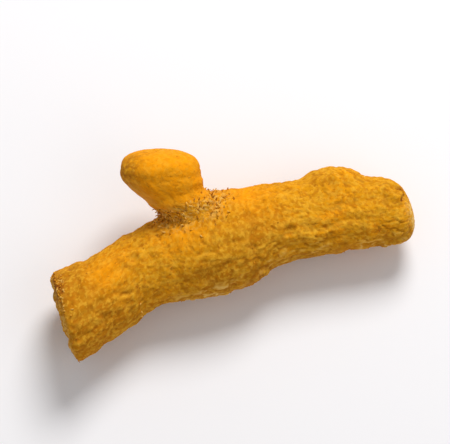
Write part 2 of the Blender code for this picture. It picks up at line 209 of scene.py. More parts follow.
# The skin's colours, each laid over those before it: the colour, its strength, and the mark and the specks
# that bound it, if any. Specks are a noise over even or streaked skin: cells to a millimetre, detail, and the
# heights of the noise at which a speck starts and is full.
SKIN_LAYERS = (
    ("orange", 0.55, None, ("even", 0.17, 3.0, 0.46, 0.66)),
    # Brown over duller skin and over painted shade.
    ("hollow", 0.60, "dull_and_shade", None),
    ("orange", 1.0, "rubbed", ("even", 0.5, 3.0, 0.30, 0.55)),
    ("powder", 0.35, None, ("streaked", 0.75, 4.0, 0.50, 0.70)),
    ("powder", 0.35, None, ("even", 1.1, 5.0, 0.52, 0.66)),
    ("hollow", 0.22, None, ("even", 2.1, 3.0, 0.52, 0.64)),
    ("fleck", 0.50, None, ("even", 1.35, 2.0, 0.51, 0.59)),
    ("powder", 0.42, None, ("even", 1.62, 1.0, 0.53, 0.61)),
    ("hollow", 0.22, None, ("streaked", 1.5, 3.0, 0.55, 0.74)),
    ("hollow", 0.22, "ring", None),
    ("hollow", 0.50, "hollow", None),
    ("powder", 0.60, "crest", None),
    ("orange", 0.50, "rubbed", None),
    # Pale dust on crests, with a painted highlight on the low front flank and tip and painted reflected light
    # on the side flank.
    ("dust_and_painted_light", 1.0, "dust_and_painted_light", ("streaked", 1.4, 3.0, 0.36, 0.58)),
    ("hollow", 0.50, None, ("even", 1.7, 2.0, 0.64, 0.72)),
    ("fibre", 1.0, "broken", ("even", 1.3, 4.0, 0.42, 0.60)),
    ("fibre", 1.0, "collar", ("even", 1.5, 3.0, 0.46, 0.58)),
    ("hollow", 1.0, "collar", ("even", 1.9, 3.0, 0.53, 0.62)),
    ("bruise", 1.0, "bruise", ("even", 1.2, 3.0, 0.34, 0.56)),
)

# Scales from metres along, level and upright on the straightened skin to the noises' millimetres.
SKIN_SCALES = {"even": (1000.0, 1000.0, 1000.0), "streaked": (260.0, 1000.0, 1000.0)}

# Numbers of the Mix node's sockets that take and give colours.
MIX_SHARE, MIX_BASE, MIX_COLOUR, MIX_RESULT = 0, 6, 7, 2

# Fibres: the shortest and longest of each group in millimetres, how much their ways spread, the least and most
# that they curl in radians, the thinnest as a share of the thickest, how deep a foot is sunk, and how far the
# points of fibres stay above the floor.
FIBRE_LENGTHS = {"collar_fibres": (0.5, 1.15), "end_fibres": (0.4, 0.85), "node_fibres": (0.35, 0.65)}
FIBRE_SEED = 23
FIBRE_SPREAD = 0.45
FIBRE_CURLS = (0.6, 2.8)
THINNEST_FIBRE = 0.5
FOOT_DEPTH = 0.2 * MM
FIBRE_OFF_FLOOR = 0.05 * MM

# Where fibres grow: not inside the neck, nor this low on the root, and along this stretch of the broken rim,
# where they lean out over the break.
NECK_INSIDE = 4.2 * MM
LOWEST_FOOT = 0.8 * MM
RIM_FIBRES, RIM_FIBRES_WIDTH = 1.3 * MM, 0.9 * MM
RIM_LEAN = np.array([-0.6, 0.0, 0.0])

# The view: the root's long way rises by this many degrees to the right of the picture.
PICTURE_TURN = 17.3
CAMERA_ELEVATION = 75.0

# The floor: half its side, and how far it lies under the root.
FLOOR_HALF = 0.6
FLOOR_DROP = 0.05 * MM

# Soft lights: how far each one stands, and for each its shares of the picture's right, its up and upwards, and
# how wide it is.
LIGHT_DISTANCE = 0.55
KEY_LIGHT = ((0.25, 0.9, 1.1), 0.26)
FILL_LIGHT = ((0.8, -0.5, 1.0), 0.45)
SKY_COLOUR = (1.0, 0.99, 1.0, 1.0)


def fine_length(name, description, default):
    """A small length that a user may change, shown to five decimals."""
    return FloatProperty(name=name, description=description, default=default, unit="LENGTH", precision=5)


def plain_colour(name, description, default):
    """A colour that a user may change, as red, green and blue."""
    return FloatVectorProperty(name=name, description=description, subtype="COLOR", size=3, default=default)


class TurmericShape(bpy.types.PropertyGroup):
    """Sizes of the skin's relief and of the rootlet fibres."""

    lump_height: fine_length("Lump height", "Height of the slow swells", 0.30 * MM)
    fold_depth: fine_length("Fold depth", "Height of the broad lengthwise folds", 0.38 * MM)
    ring_height: fine_length("Ring height", "Height of the lip at each node", 0.22 * MM)
    crease_depth: fine_length("Crease depth", "Depth of the fine lengthwise creases", 0.14 * MM)
    grain_height: fine_length("Grain height", "Height of the uneven, powdery skin", 0.080 * MM)
    vein_height: fine_length("Vein height", "Height of the fine pale crests", 0.09 * MM)
    pit_depth: fine_length("Pit depth", "Depth of the small pits", 0.11 * MM)
    root_rows: IntProperty(name="Root rows", description="Rows of faces along the root", default=400, min=40)
    root_sides: IntProperty(name="Root sides", description="Faces around the root", default=196, min=24)
    side_rows: IntProperty(
        name="Side rows", description="Rows of faces along the side finger", default=130, min=20,
    )
    side_sides: IntProperty(
        name="Side sides", description="Faces around the side finger", default=130, min=16,
    )
    collar_fibres: IntProperty(
        name="Collar fibres", description="Fibres round the side finger's neck", default=320,
    )
    end_fibres: IntProperty(name="End fibres", description="Fibres on the rim of the broken end", default=90)
    node_fibres: IntProperty(name="Node fibres", description="Short fibres beside the nodes", default=60)
    fibre_radius: fine_length("Fibre radius", "Radius of the thickest fibre at its foot", 0.17 * MM)


class TurmericColours(bpy.types.PropertyGroup):
    """Colours of the skin, the fibres and the floor."""

    ochre: plain_colour("Ochre", "Main colour of the skin", (0.70, 0.295, 0.006))
    orange: plain_colour("Orange", "Patches where the skin is rubbed", (0.86, 0.31, 0.003))
    hollow: plain_colour("Hollow", "Brown in the creases and pits", (0.34, 0.115, 0.004))
    powder: plain_colour("Powder", "Pale dust on the raised skin", (0.82, 0.44, 0.035))
    fleck: plain_colour("Fleck", "Reddish brown of the small flecks", (0.48, 0.15, 0.004))
    # Also the colour of the painted highlight low on the front flank and at the tip, and of painted reflected
    # light on the side finger.
    dust_and_painted_light: plain_colour("Dust", "Beige dust low on the flank", (0.80, 0.50, 0.14))
    bruise: plain_colour("Bruise", "Reddish brown of the worn ends", (0.24, 0.065, 0.006))
    fibre: plain_colour("Fibre", "Tan of the dry fibres", (0.70, 0.40, 0.08))
    floor: plain_colour("Floor", "Pale surface that the root lies on", (0.86, 0.85, 0.86))


class TurmericStudio(bpy.types.PropertyGroup):
    """Camera and lights."""

    lens: FloatProperty(name="Lens", description="Focal length in millimetres", default=200.0, min=20.0)
    picture_width: FloatProperty(
        name="Picture width", description="Width of what the picture shows at the root",
        default=76 * MM, unit="LENGTH",
    )
    key_power: FloatProperty(name="Key", description="Power of the main soft light", default=2.7, unit="POWER")
    fill_power: FloatProperty(
        name="Fill", description="Power of the soft light opposite", default=0.35, unit="POWER",
    )
    sky: FloatProperty(name="Sky", description="Strength of the even light from all round", default=0.42)


def smooth(at, stations, values):
    """Cubic curve through the values at the stations, with central slopes, read at each place in at."""
    slopes = np.gradient(values, stations, axis=0)
    left = np.clip(np.searchsorted(stations, at) - 1, 0, len(stations) - 2)
    step = stations[left + 1] - stations[left]
    t = (at - stations[left]) / step
    if values.ndim > 1:
        t, step = t[..., None], step[..., None]
    start = values[left] * (2 * t**3 - 3 * t**2 + 1) + slopes[left] * step * (t**3 - 2 * t**2 + t)
    end = values[left + 1] * (3 * t**2 - 2 * t**3) + slopes[left + 1] * step * (t**3 - t**2)
    return start + end


def smoothstep(low, high, value):
    """0 below low, 1 above high, and an even S between them."""
    t = np.clip((value - low) / (high - low), 0.0, 1.0)
    return t * t * (3 - 2 * t)


def plateau(rise, fall, value):
    """0 before the rise and after the fall, 1 between them, and an even S over each."""
    return smoothstep(*rise, value) * (1 - smoothstep(*fall, value))


def bell(apart, width):
    """1 where nothing lies between, less both ways: the exponential of minus the square of apart over width."""
    return np.exp(-((apart / width) ** 2))


def facing(turn, middle, spread):
    """1 at the middle turn, less round the finger: the exponential of the cosine less one, over the spread."""
    return np.exp(-(1 - np.cos(turn - middle)) / spread)


def unit(vectors):
    """The vectors at length 1."""
    return vectors / np.linalg.norm(vectors, axis=-1)[..., None]


def rounded_profile(length, radius, start, end):
    """Outline of a round-ended bar: at each step, the share walked, the place along and the width's share.

    Each end is a superellipse, given by the length that it takes up and its exponent. The width's share is a
    sine, and the place is the length times one less a cosine, both to the power of two over the exponent.
    """
    swing = np.linspace(0.0, math.pi / 2, END_STEPS)
    start_along = start[0] * (1 - np.cos(swing) ** (2 / start[1]))
    start_out = np.sin(swing) ** (2 / start[1])
    end_along = length - end[0] * (1 - np.cos(swing[::-1]) ** (2 / end[1]))
    end_out = np.sin(swing[::-1]) ** (2 / end[1])
    along = np.concatenate([start_along, end_along])
    out = np.concatenate([start_out, end_out])
    walked = np.concatenate([[0.0], np.cumsum(np.hypot(np.diff(along), np.diff(out) * radius))])
    return walked / walked[-1], along, out


def finger_grid(rows, sides, length, radius, start, end):
    """Place along, reach from the axis and turn, each as an array of rows by sides, with a pole at both ends.

    Rows are evenly spaced along the outline, and sides evenly round it.
    """
    walked, profile_along, profile_out = rounded_profile(length, radius, start, end)
    share = np.linspace(0.0, 1.0, rows + 1)
    along = np.interp(share, walked, profile_along)
    out = np.interp(share, walked, profile_out)
    turn = 2 * math.pi * np.arange(sides) / sides
    along, turned = np.meshgrid(along, turn, indexing="ij")
    out = np.repeat(out[:, None], sides, axis=1)
    return along, out, turned


def laid_straight(along, out, turn, radius):
    """The skin as if its finger were a straight round bar: the places that the noises read."""
    reach = radius * out
    return np.stack([along, reach * np.cos(turn), reach * np.sin(turn)], axis=-1)


def root_points(along, turn, out=1.0):
    """Points on the plain root: an upright ellipse at each place along its axis."""
    across = smooth(along, ROOT_STATIONS, ROOT_ACROSS)
    half_width = smooth(along, ROOT_STATIONS, ROOT_HALF_WIDTH)
    half_height = smooth(along, ROOT_STATIONS, ROOT_HALF_HEIGHT)
    middle = smooth(along, ROOT_STATIONS, ROOT_UNDERSIDE) + half_height
    y = across + half_width * out * np.cos(turn)
    z = middle + half_height * out * np.sin(turn)
    return np.stack([along, y, z], axis=-1)


def spot(along, degrees):
    """The point of the plain root at a place along it and a turn in degrees."""
    return root_points(np.array([along]), np.array([math.radians(degrees)]))[0]


def radii_from(points, along, degrees, radius):
    """How far each point is from a spot of the plain root, counted in radii of what lies there."""
    return np.linalg.norm(points - spot(along, degrees), axis=-1) / radius


def side_length():
    """Length of the side finger's axis, straight from point to point."""
    return float(np.sum(np.linalg.norm(np.diff(SIDE_POINTS, axis=0), axis=1)))


def side_frame(share):
    """The side finger's centre, its level and upward directions and its half sizes at a share.

    Level is square to the heading. Upward is the cross product of the heading tipped up by the rise and level.
    """
    stations = np.linspace(0.0, 1.0, len(SIDE_POINTS))
    centre = smooth(share, stations, SIDE_POINTS)
    heading = smooth(share, stations, SIDE_HEADING)
    level = np.stack([-np.cos(heading), np.sin(heading), np.zeros_like(heading)], axis=-1)
    ahead = np.stack([np.sin(heading), np.cos(heading), np.zeros_like(heading)], axis=-1)
    forward = math.cos(SIDE_RISE) * ahead + math.sin(SIDE_RISE) * np.array([0.0, 0.0, 1.0])
    upward = np.cross(forward, level)
    half_width = smooth(share, stations, SIDE_HALF_WIDTH)[..., None]
    half_height = smooth(share, stations, SIDE_HALF_HEIGHT)[..., None]
    return centre, level, upward, half_width, half_height


def side_points(share, turn, out):
    """Points on the plain side finger: an ellipse across its heading at each share of its length."""
    centre, level, upward, half_width, half_height = side_frame(share)
    wide = half_width * (out * np.cos(turn))[..., None] * level
    high = half_height * (out * np.sin(turn))[..., None] * upward
    return centre + wide + high


def grid_normals(points):
    """Unit normals of a grid closed round its columns: the cross product of its two slopes at each point."""
    down = np.gradient(points, axis=0)
    beside = np.roll(points, -1, axis=1) - np.roll(points, 1, axis=1)
    normals = np.cross(beside, down)
    normals[0] = normals[1].mean(axis=0)
    normals[-1] = normals[-2].mean(axis=0)
    return unit(normals)


def chance(cells, seed):
    """A repeatable random share for each whole-number cell, by mixing its three numbers with the seed."""
    spread = cells * CELL_MIXERS
    mixed = spread[..., 0] ^ spread[..., 1] ^ spread[..., 2] ^ (seed * SEED_MIXER)
    mixed = (mixed ^ (mixed >> 13)) * LAST_MIXER
    return ((mixed ^ (mixed >> 16)) & DRAW_STEPS) / DRAW_STEPS


def noise(places, size, seed):
    """Smooth random height from -1 to 1: the draws at the eight corners of each cell, blended by a quintic."""
    places = places / size
    cells = np.floor(places).astype(np.int64)
    inside = places - cells
    blend = inside**3 * (inside * (inside * 6 - 15) + 10)
    height = np.zeros(places.shape[:-1])
    for corner in itertools.product((0, 1), repeat=3):
        weight = np.prod(np.where(np.array(corner) == 1, blend, 1 - blend), axis=-1)
        height += weight * chance(cells + np.array(corner), seed)
    return 2 * height - 1


def lumps(along, turn):
    """Slow swells that keep the root from being an even tube: a sine along it, and one that winds round it."""
    slow = 0.6 * np.sin(along / SWELL_WAVE + 0.9 + 0.8 * np.cos(turn))
    crossing = 0.5 * np.sin(along / CROSSING_WAVE + 2.0 * turn + 2.1)
    return slow + crossing


def folds(along, turn, count, drift):
    """Shrunken skin: rounded ridges with sharp valleys that run lengthwise, sway, fade and start again.

    A ridge is the size of the sine of half the count times the turn, which sways by the drift times three
    sines along the finger. It is times a slow sine, by which it fades.
    """
    sway = np.sin(along / SLOW_SWAY + 1.7) + 0.6 * np.sin(along / MIDDLE_SWAY + 2.0 * turn)
    sway += 0.35 * np.sin(along / QUICK_SWAY + 3.0 * turn)
    ridge = np.abs(np.sin(0.5 * (count * turn + drift * sway))) - 0.62
    fade = 0.55 + 0.45 * np.sin(along / FOLD_FADE + 3.0 * turn)
    return ridge * fade


def root_folds(along, turn):
    """Narrow folds, which deepen towards the front flank and the tip, and wide ones over them."""
    shrunken = (0.78 - 0.22 * np.cos(turn)) * (0.85 + 0.3 * along / ROOT_LENGTH)
    narrow = shrunken * folds(along, turn, *NARROW_FOLDS)
    return narrow + 0.5 * folds(along + WIDE_FOLDS_SHIFT, turn, *WIDE_FOLDS)


def root_wrinkling(along, turn):
    """How wrinkled the root's fine skin is: most on its front flank, less at the break, more at the tip."""
    flank = 0.30 + 0.75 * smoothstep(-0.1, 0.8, -np.cos(turn))
    grown = 0.5 + 0.5 * smoothstep(*WRINKLES_GROW, along)
    return flank * grown + 0.25 * smoothstep(*TIP_WRINKLES_GROW, along)


def ring_places(first, step, count):
    """Where the nodes are: even steps, each one shifted a little by the golden ratio's remainders."""
    order = np.arange(count)
    return first + step * (order + 0.34 * ((order * 0.618) % 1.0 - 0.5))


def node_rings(along, turn, places):
    """A low lip with a groove after it at each node, and how much of each point lies in the line between them.

    Each is a bell of the distance along from the node, whose place leans and wavers round the finger by sines.
    """
    height = np.zeros_like(along)
    share = np.zeros_like(along)
    for order, place in enumerate(places):
        lean = RING_LEAN * np.sin(turn + 1.9 * order) + RING_WAVER * np.sin(3.0 * turn + order)
        apart = along - place - lean
        lip = bell(apart, LIP_WIDTH)
        groove = 0.8 * bell(apart - GROOVE_AFTER, GROOVE_WIDTH)
        strength = 0.7 + 0.3 * np.sin(2.0 * turn + 2.3 * order)
        height += (lip - groove) * strength
        share += bell(apart - RING_LINE_AFTER, RING_LINE_WIDTH) * strength
    return height, share


def scar_pits(points):
    """A round dimple with a raised edge at each scar, by distance from its middle, and the dimples' share."""
    height = np.zeros(points.shape[:-1])
    share = np.zeros(points.shape[:-1])
    for along, degrees, radius, depth in SCARS:
        apart = radii_from(points, along, degrees, radius)
        height += depth * (0.8 * bell(apart - 1.0, 0.45) - bell(apart, 0.6))
        share += bell(apart, 0.7)
    return height, share


def knob_swells(points):
    """A round bud at each knob, with a small pit in its middle, by distance from it.

    Also the share that lies in a knob's pit, or half as much in the line round its foot.
    """
    height = np.zeros(points.shape[:-1])
    share = np.zeros(points.shape[:-1])
    for along, degrees, radius, stand in KNOBS:
        apart = radii_from(points, along, degrees, radius)
        dome = stand * (1 - smoothstep(0.45, 1.15, apart))
        pit = bell(apart, 0.28)
        height += dome - 0.7 * stand * pit
        share += pit + 0.5 * bell(apart - 1.05, 0.18)
    return height, share


def bud_scale(points):
    """A low scale with a crescent groove on its far side, by distance from it, and the groove's share."""
    along, degrees, radius, stand = TIP_BUD
    nearest = np.argmin(radii_from(points, along, degrees, radius))
    away = (points - points.reshape(-1, 3)[nearest]) / radius
    apart = np.linalg.norm(away, axis=-1)
    crescent = bell(apart - 0.85, 0.22) * smoothstep(0.0, 0.5, away[..., 0])
    return stand * (1 - smoothstep(0.5, 1.1, apart)) - 1.3 * stand * crescent, crescent


def shoulder_swell(points):
    """A low dome over the hidden bud: the exponential of minus the cube of the distance from its middle."""
    along, degrees, radius, stand = SHOULDER
    return stand * np.exp(-(radii_from(points, along, degrees, radius) ** 3))


def collar_swell(points):
    """The root's skin drawn up round the foot of the side finger.

    It is the exponential of minus the fourth power of the distance from the finger's axis, on its own side.
    """
    foot = SIDE_POINTS[0]
    pointing = unit(SIDE_POINTS[1] - foot)
    outward = (points - foot) @ pointing
    off_axis = np.linalg.norm(points - foot - outward[..., None] * pointing, axis=-1)
    return COLLAR_HEIGHT * np.where(outward > 0.0, np.exp(-((off_axis / COLLAR_RADIUS) ** 4)), 0.0)


def near_neck(points):
    """How near each point is to the ring where the side finger leaves the root: a bell of the distance."""
    turn = np.linspace(0.0, 2 * math.pi, NECK_RING_POINTS, endpoint=False)
    share = np.full_like(turn, NECK_RING / side_length())
    ring = side_points(share, turn, np.ones_like(turn))
    apart = np.min(np.linalg.norm(points[..., None, :] - ring, axis=-1), axis=-1)
    return bell(apart, FUZZ_WIDTH)


def patch_share(points, patches):
    """How much of each point lies in the patches: the sum of a bell of the distance from each one's middle."""
    return sum(bell(radii_from(points, *patch), 1.0) for patch in patches)


def fine_skin(straight, shrunken, sizes):
    """Fine relief on a straightened finger: creases and veins that run lengthwise and sway, grain and pits.

    Creases are narrow valleys where a noise drawn out along the finger crosses zero, and veins are narrow
    crests where another one does. They read places that a slower noise has pushed aside, so that they sway, and
    they are stronger where the skin has shrunk more. Grain is two noises, one of finer cells. Pits are where
    another noise is high. Also gives how hollow and how crested each point is, from 0 to 1.
    """
    sway = np.stack([noise(straight, SWAY_CELL, seed) for seed in SWAY_SEEDS], axis=-1)
    pushed = straight + SWAY_REACH * sway
    strong = smoothstep(-0.5, 0.5, noise(straight, *SHRINK_NOISE)) * shrunken
    crease = bell(noise(pushed, *CREASE_NOISE), 0.15) * (0.15 + 0.85 * strong)
    vein = bell(noise(pushed, *VEIN_NOISE), 0.17) * (0.10 + 0.90 * strong)
    fine_crease = bell(noise(pushed, *FINE_CREASE_NOISE), 0.22)
    grain = noise(pushed, *GRAIN_NOISE) + 0.7 * noise(straight, *FINE_GRAIN_NOISE)
    pits = smoothstep(0.34, 0.66, noise(pushed, *PIT_NOISE))
    height = sizes.grain_height * grain - sizes.pit_depth * pits + sizes.vein_height * vein
    height -= sizes.crease_depth * (crease + 0.40 * fine_crease)
    hollow = 0.70 * crease + 0.25 * fine_crease + 0.85 * pits + 0.25 * np.clip(-grain, 0.0, 1.0) - 0.6 * vein
    crest = vein * (1 - crease) * (1 - pits)
    return height, np.clip(hollow, 0.0, 1.0), np.clip(crest, 0.0, 1.0)


def broken_face(along, turn, out, straight):
    """The broken end: dished, with torn ridges and loose grain. Also its share, 1 on the face.

    The dish is half a sine wave from the middle to the rim, times two waves that wind round and across it less
    a constant. The grain is two noises, one of finer cells.
    """
    torn = 0.5 * np.sin(5.0 * turn + 9.0 * out) + 0.4 * np.sin(3.0 * turn - 14.0 * out + 1.0)
    dish = np.sin(math.pi * np.clip(out, 0.0, 1.0)) * (torn - 0.7)
    rough = noise(straight, *TORN_NOISE) + 0.6 * noise(straight, *FINE_TORN_NOISE)
    at_end = along < BROKEN_END[0]
    share = np.where(at_end, 1 - smoothstep(0.80, 0.99, out), 0.0)
    height = np.where(at_end, BREAK_DEPTH * dish, 0.0) + TORN_HEIGHT * rough * share
    return height, share


def pale_dust_and_highlight(along, turn, crest):
    """Pale dust and painted highlight on each point: a faint line low on the front flank, crests there, and the
    tip.

    The line is a bell of the turn, and the tip's highlight a bell of the distance from the end on its front
    half.
    """
    line = bell(turn - RIM_HIGHLIGHT_TURN, RIM_HIGHLIGHT_WIDTH) * smoothstep(*RIM_HIGHLIGHT_GROWS, along)
    flank = plateau(PALE_FLANK_RISE, PALE_FLANK_FALL, turn) * smoothstep(*PALE_FLANK_GROWS, along)
    tip = bell(along - ROOT_LENGTH + TIP_HIGHLIGHT_BACK, TIP_HIGHLIGHT_WIDTH)
    tip *= smoothstep(-0.1, 0.7, np.cos(turn - TIP_HIGHLIGHT_TURN))
    return np.clip(line * (0.15 + 0.5 * crest) + 0.8 * flank * crest + 0.8 * tip, 0.0, 1.0)


def root_surface(sizes):
    """The main finger's points and marks: the plain form moved along its normals by all its relief."""
    along, out, turn = finger_grid(
        sizes.root_rows, sizes.root_sides, ROOT_LENGTH, ROOT_END_RADIUS, BROKEN_END, ROOT_TIP
    )
    points = root_points(along, turn, out)
    straight = laid_straight(along, out, turn, ROOT_END_RADIUS)
    rim = np.clip(out, 0.0, 1.0) ** 3
    rings, ring_share = node_rings(along, turn, ring_places(*ROOT_RINGS))
    broad = root_folds(along, turn)
    fine, hollow, crest = fine_skin(straight, root_wrinkling(along, turn), sizes)
    scars, scar_share = scar_pits(points)
    knobs, knob_share = knob_swells(points)
    bud, bud_share = bud_scale(points)
    broken, broken_share = broken_face(along, turn, out, straight)
    relief = sizes.lump_height * lumps(along, turn) + sizes.fold_depth * broad + sizes.ring_height * rings
    relief = rim * relief + (0.3 + 0.7 * rim) * fine + scars + knobs + bud
    relief = relief + collar_swell(points) + broken + shoulder_swell(points)
    fuzzy = near_neck(points)
    relief += FUZZ_HEIGHT * fuzzy * noise(straight, *FUZZ_NOISE)
    points = points + grid_normals(points) * relief[..., None]
    valley = 1 - smoothstep(-0.50, -0.05, broad)
    bruise_along, bruise_width, bruise_turn, bruise_spread = END_BRUISE
    bruise = bell(turn - bruise_turn, bruise_spread) * bell(along - bruise_along, bruise_width)
    # Painted shade low on the front flank, on what faces away from the light.
    under = smoothstep(0.72, 1.0, np.cos(turn - PAINTED_SHADE_TURN))
    marks = {
        "straight": straight,
        "hollow": np.clip(hollow + 0.25 * valley + 0.35 * scar_share + knob_share, 0.0, 1.0),
        "crest": rim * crest * (1 - broken_share),
        "ring": np.clip(rim * ring_share, 0.0, 1.0),
        "collar": fuzzy,
        "broken": np.clip(broken_share, 0.0, 1.0),
        "bruise": np.clip(bruise + 1.5 * bud_share + 0.9 * knob_share, 0.0, 1.0),
        "rubbed": np.clip(patch_share(points, RUBBED), 0.0, 1.0),
        "dust_and_painted_light": pale_dust_and_highlight(along, turn, crest),
        "dull_and_shade": np.clip(patch_share(points, DULL_AND_SHADE) + 0.8 * under, 0.0, 1.0),
    }
    return points, marks


def side_surface(sizes):
    """The side finger's points and marks, worked out as the root's are, with fainter relief."""
    length = side_length()
    along, out, turn = finger_grid(
        sizes.side_rows, sizes.side_sides, length, SIDE_END_RADIUS, SIDE_FOOT, SIDE_TIP
    )
    points = side_points(along / length, turn, out)
    straight = laid_straight(along + 2 * ROOT_LENGTH, out, turn, SIDE_END_RADIUS)
    rim = np.clip(out, 0.0, 1.0) ** 3
    rings, ring_share = node_rings(along, turn, ring_places(*SIDE_RINGS))
    broad = 0.5 * folds(along, turn, *SIDE_FOLDS)
    fine, hollow, crest = fine_skin(straight, np.full_like(along, 0.25), sizes)
    relief = 0.6 * sizes.lump_height * lumps(along, turn) + sizes.fold_depth * broad
    relief = rim * (relief + 0.7 * sizes.ring_height * rings) + (0.3 + 0.7 * rim) * 0.7 * fine
    points = points + grid_normals(points) * relief[..., None]
    bruise_along, bruise_width, bruise_turn, bruise_spread = SIDE_BRUISE
    bruise = bell(along - bruise_along, bruise_width) * facing(turn, bruise_turn, bruise_spread)
    # Painted shade and paler painted reflected light on the side finger's left flank.
    flank = facing(turn, SIDE_FLANK_TURN, SIDE_FLANK_SPREAD) * plateau(SIDE_FLANK_RISE, SIDE_FLANK_FALL, along)
    on_top = np.clip(0.75 + 0.5 * np.sin(turn), 0.0, 1.0)
    marks = {
        "straight": straight,
        "hollow": 0.4 * hollow,
        "crest": 0.4 * rim * crest,
        "ring": np.clip(0.3 * rim * ring_share, 0.0, 1.0),
        "collar": bell(along - NECK_FUZZ, NECK_FUZZ_WIDTH),
        "broken": np.zeros_like(along),
        "bruise": 0.55 * bruise,
        "rubbed": smoothstep(*SIDE_RUBBED_FROM, along) * on_top * (1 - bruise),
        "dust_and_painted_light": 0.5 * flank,
        "dull_and_shade": 0.6 * flank,
    }
    return points, marks


def closed_points(grids):
    """Values of grids by rows by sides as one list, with each pole row kept once."""
    inner = grids[:, 1:-1].reshape(len(grids), -1, *grids.shape[3:])
    return np.concatenate([grids[:, :1, 0], inner, grids[:, -1:, 0]], axis=1).reshape(-1, *grids.shape[3:])


def closed_faces(count, rows, sides):
    """Faces of a number of alike grids: triangles round the pole at each end, and quads between the rings."""
    order = np.arange(sides)
    after = (order + 1) % sides
    last = 1 + (rows - 2) * sides
    pole = np.zeros(sides, int)
    start = np.stack([pole, 1 + after, 1 + order], axis=1)
    end = np.stack([pole + last + sides, last + order, last + after], axis=1)
    ring = 1 + np.arange(rows - 2)[:, None] * sides
    quads = np.stack([ring + order, ring + after, ring + sides + after, ring + sides + order], axis=2)
    shift = np.arange(count)[:, None, None] * (last + sides + 1)
    triangles = (np.concatenate([start, end]) + shift).reshape(-1, 3)
    return triangles.tolist() + (quads.reshape(-1, 4) + shift).reshape(-1, 4).tolist()


def add_mesh(name, points, faces, marks):
    """A smooth mesh object at the origin, with each mark kept on its points: shares, or places as vectors."""
    mesh = bpy.data.meshes.new(name)
    mesh.from_pydata(points, [], faces)
    for mark, values in marks.items():
        kind, key = ("FLOAT_VECTOR", "vector") if values.ndim > 1 else ("FLOAT", "value")
        kept = mesh.attributes.new(mark, kind, "POINT")
        kept.data.foreach_set(key, np.ascontiguousarray(values, np.float32).ravel())
    mesh.shade_smooth()
    made = bpy.data.objects.new(name, mesh)
    bpy.context.scene.collection.objects.link(made)
    return made


def add_finger(name, surface):
    """A closed finger from its grid, moved to the part's own frame and cut level where it meets the floor."""
    grid, marks = surface
    points = closed_points(grid[None]) - FOOTPRINT_MIDDLE
    points[:, 2] = np.maximum(points[:, 2], 0.0)
    kept = {mark: closed_points(values[None]) for mark, values in marks.items()}
    return add_mesh(name, points, closed_faces(1, grid.shape[0] - 1, grid.shape[1]), kept)


def join_fingers(root, side):
    """One closed skin from two crossing fingers, by a Boolean union that is applied."""
    step = root.modifiers.new("join", "BOOLEAN")
    step.operation = "UNION"
    step.solver = "MANIFOLD"
    step.object = side
    evaluated = root.evaluated_get(bpy.context.evaluated_depsgraph_get())
    joined = bpy.data.meshes.new_from_object(evaluated)
    root.modifiers.remove(step)
    plain = root.data
    root.data = joined
    bpy.data.meshes.remove(plain)
    joined.name = root.name
    other = side.data
    bpy.data.objects.remove(side, do_unlink=True)
    bpy.data.meshes.remove(other)
    joined.shade_smooth()


def fibre_tubes(feet, ways, bends, lengths, curls, radii, rows=8, sides=6):
    """Tapering tubes, each along an arc of a circle: it leaves its foot along its way and turns to its bend.

    A place on the arc is the foot, plus the way times the sine of the angle turned so far, plus the bend
    times one less its cosine, both times the arc's radius. The curl is the whole angle in radians. Gives the
    points as grids, one for each tube, with a pole at both ends.
    """
    share = np.linspace(0.0, 1.0, rows + 1)
    aside = unit(bends - ways * np.sum(bends * ways, axis=1)[:, None])
    angle = (curls[:, None] * share)[..., None]
    path = feet[:, None] + (lengths / curls)[:, None, None] * (
        ways[:, None] * np.sin(angle) + aside[:, None] * (1 - np.cos(angle))
    )
    heading = ways[:, None] * np.cos(angle) + aside[:, None] * np.sin(angle)
    level = np.cross(ways, aside)[:, None]
    upward = np.cross(heading, level)
    turn = 2 * math.pi * np.arange(sides) / sides
    taper = radii[:, None] * (1 - 0.55 * share**1.6) * np.where((share == 0) | (share == 1), 0.0, 1.0)
    ring = level[:, :, None] * np.cos(turn)[:, None] + upward[:, :, None] * np.sin(turn)[:, None]
    return path[:, :, None] + taper[:, :, None, None] * ring


def pick_feet(grid, share, count, draw):
    """Feet sunk a little under points of a finished surface, drawn by share, and the ways out there."""
    normals = grid_normals(grid).reshape(-1, 3)
    chosen = draw.choice(share.size, count, replace=False, p=share.ravel() / share.sum())
    return grid.reshape(-1, 3)[chosen] - FOOT_DEPTH * normals[chosen], normals[chosen]


def fibre_places(sizes, draw):
    """Feet and ways of each group of fibres, all on the finished skin.

    Those of the collar stand round the foot of the side finger and on its neck, those of the end on the rim of
    the broken end, most of them at its bruise, and those of the nodes between lip and groove.
    """
    root, marks = root_surface(sizes)
    side, side_marks = side_surface(sizes)
    inside = np.linalg.norm(root - SIDE_POINTS[2], axis=-1) < NECK_INSIDE
    skirt = np.where(inside, 0.0, marks["collar"])
    clear = root[..., 2] > LOWEST_FOOT
    rim = bell(root[..., 0] - RIM_FIBRES, RIM_FIBRES_WIDTH) * (marks["broken"] < 0.5)
    rim = rim * clear * (0.3 + 4.0 * marks["bruise"])
    feet, outward = pick_feet(root, skirt, sizes.collar_fibres // 2, draw)
    neck_feet, neck_outward = pick_feet(side, side_marks["collar"], sizes.collar_fibres // 2, draw)
    yield "collar_fibres", np.concatenate([feet, neck_feet]), np.concatenate([outward, neck_outward])
    feet, outward = pick_feet(root, rim, sizes.end_fibres, draw)
    yield "end_fibres", feet, outward + RIM_LEAN
    feet, outward = pick_feet(root, marks["ring"] ** 3 * clear, sizes.node_fibres, draw)
    yield "node_fibres", feet, outward


def socket(node, name, value):
    """Sets the value that a node's input has of its own."""
    node.inputs[name].default_value = value


